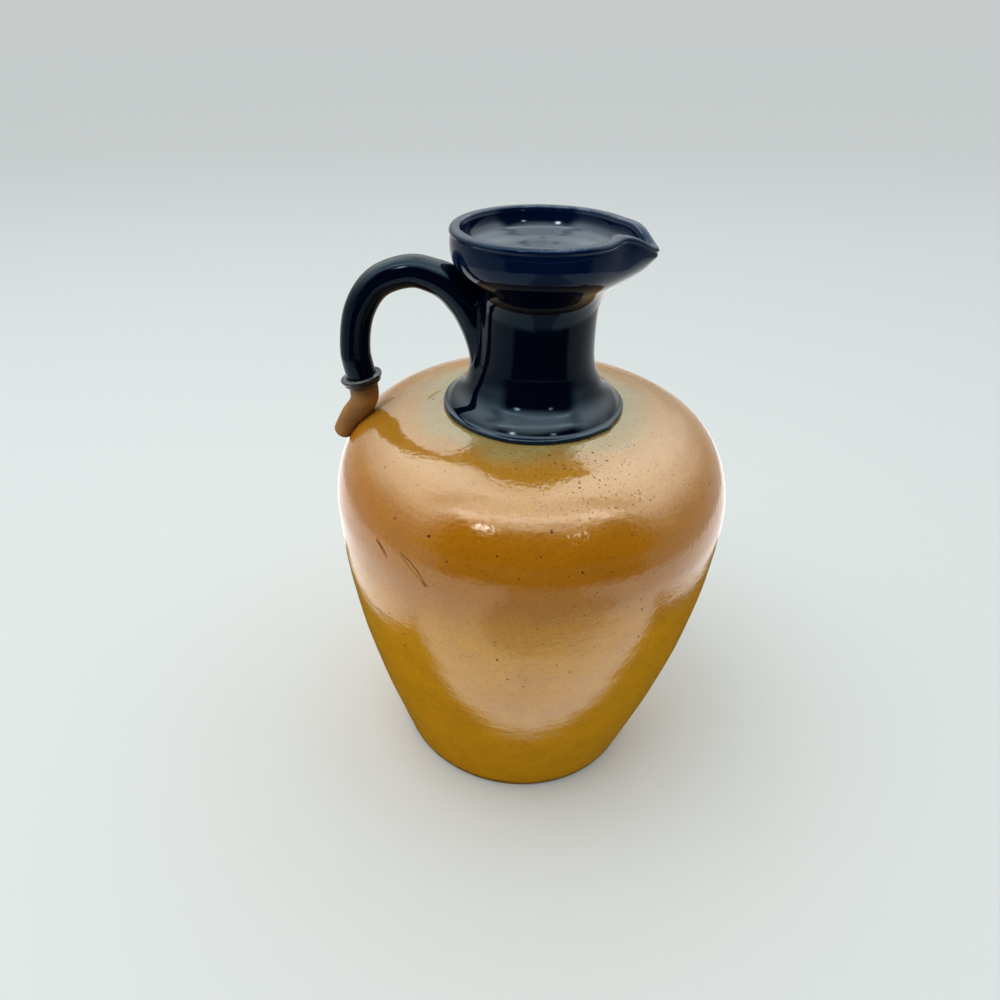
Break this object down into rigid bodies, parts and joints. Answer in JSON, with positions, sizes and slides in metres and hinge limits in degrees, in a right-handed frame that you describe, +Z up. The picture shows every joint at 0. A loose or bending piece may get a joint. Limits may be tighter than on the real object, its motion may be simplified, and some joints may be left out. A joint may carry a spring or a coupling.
{
  "type": "stoneware whiskey jug",
  "caption": "Hollow stoneware jug with an ochre salt-glazed body, a flanged dark blue neck, a wide rim pulled into a pouring lip and a looped side handle.",
  "frame": {"origin": "centre of the flat underside, on the axis that the jug was thrown on", "axes": "+Z up along the axis; +X towards the side with the pouring lip; -X towards the handle"},
  "size_m": [0.1213, 0.1205, 0.1793],
  "materials": {
    "ochre_salt_glaze": "gloss salt glaze with fine dark specks",
    "cobalt_glaze": "deep blue gloss glaze, lighter where it breaks thin on edges",
    "bare_stoneware": "unglazed brown fired clay"
  },
  "bodies": {
    "root": {"jug": "ochre_salt_glaze"}
  },
  "joints": []
}
